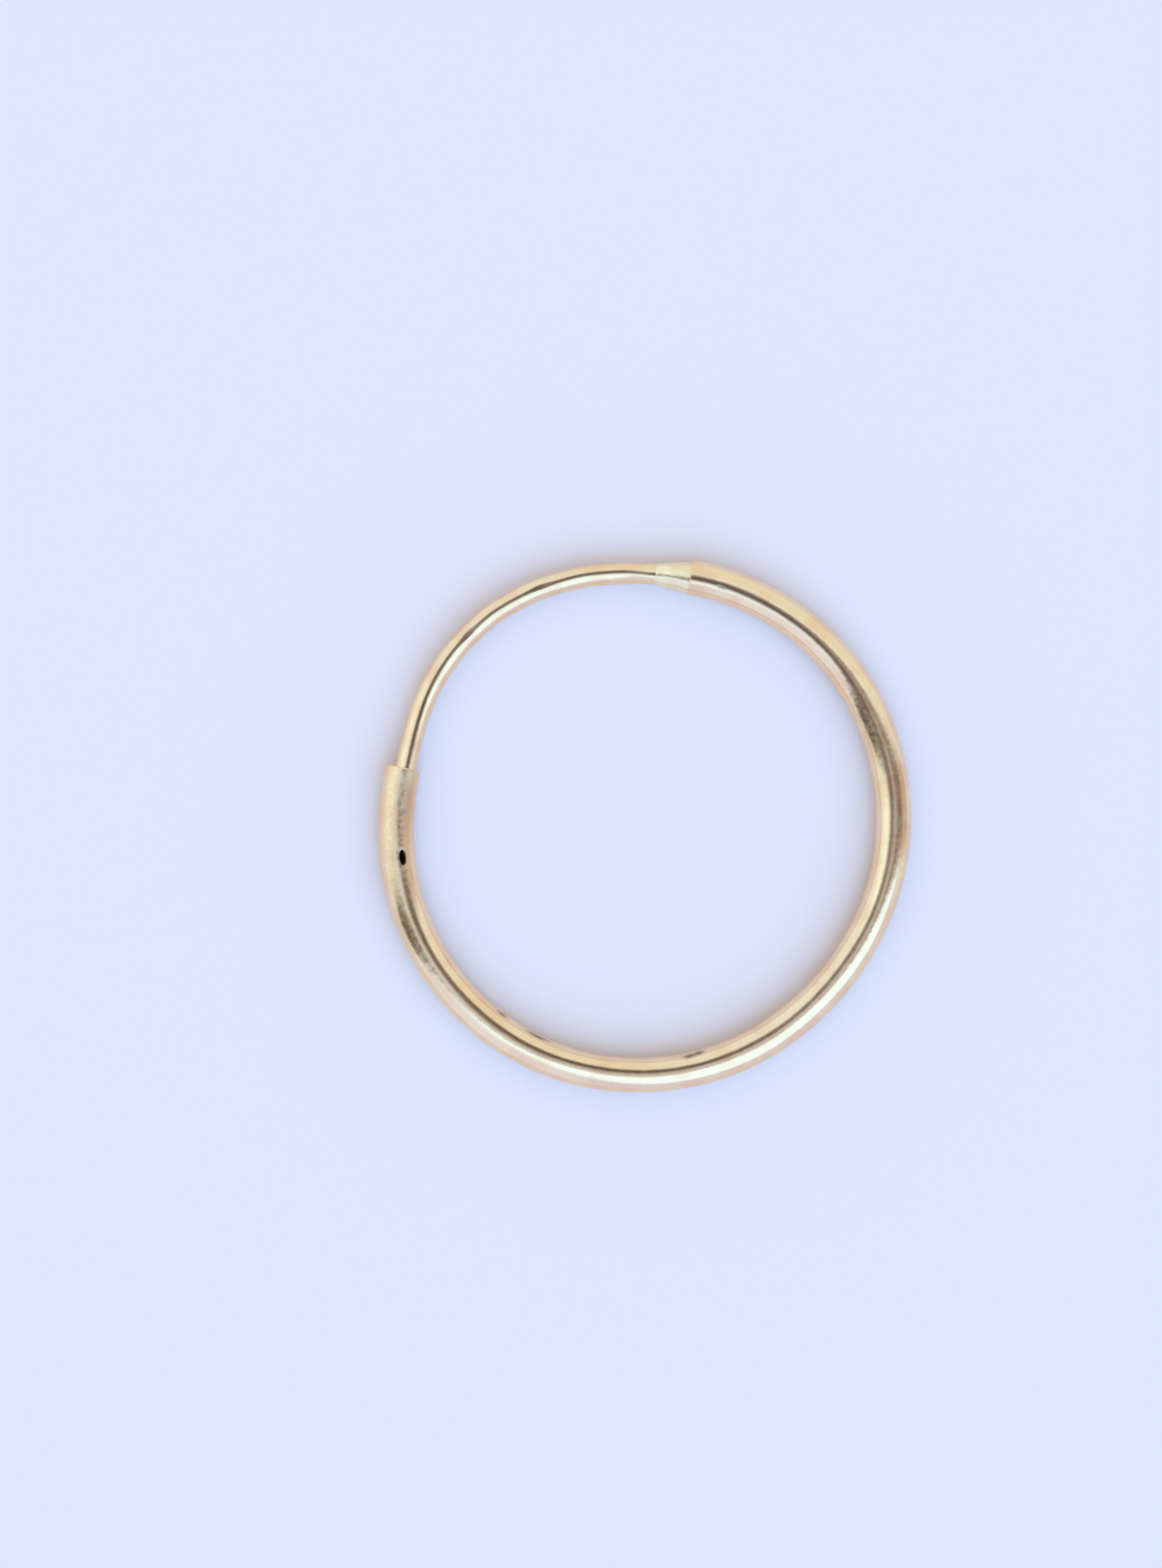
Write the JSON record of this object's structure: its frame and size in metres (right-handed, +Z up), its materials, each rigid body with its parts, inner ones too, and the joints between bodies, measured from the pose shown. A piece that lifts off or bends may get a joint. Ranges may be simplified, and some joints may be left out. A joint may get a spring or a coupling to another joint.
{
  "type": "huggie hoop earring",
  "caption": "Small hoop earring of hollow round tube, closed by a thin ear wire that is soldered at one end and springs into the tube's open end.",
  "frame": {"origin": "middle of the hoop in plan, on the surface that it lies on", "axes": "+Z up, square to the plane of the hoop; +X to the right and +Y up the picture, with the ear wire at the upper left"},
  "size_m": [0.015, 0.015, 0.001],
  "materials": {
    "yellow_gold": "polished gold"
  },
  "bodies": {
    "root": {"sleeper_hoop": "yellow_gold"}
  },
  "joints": []
}
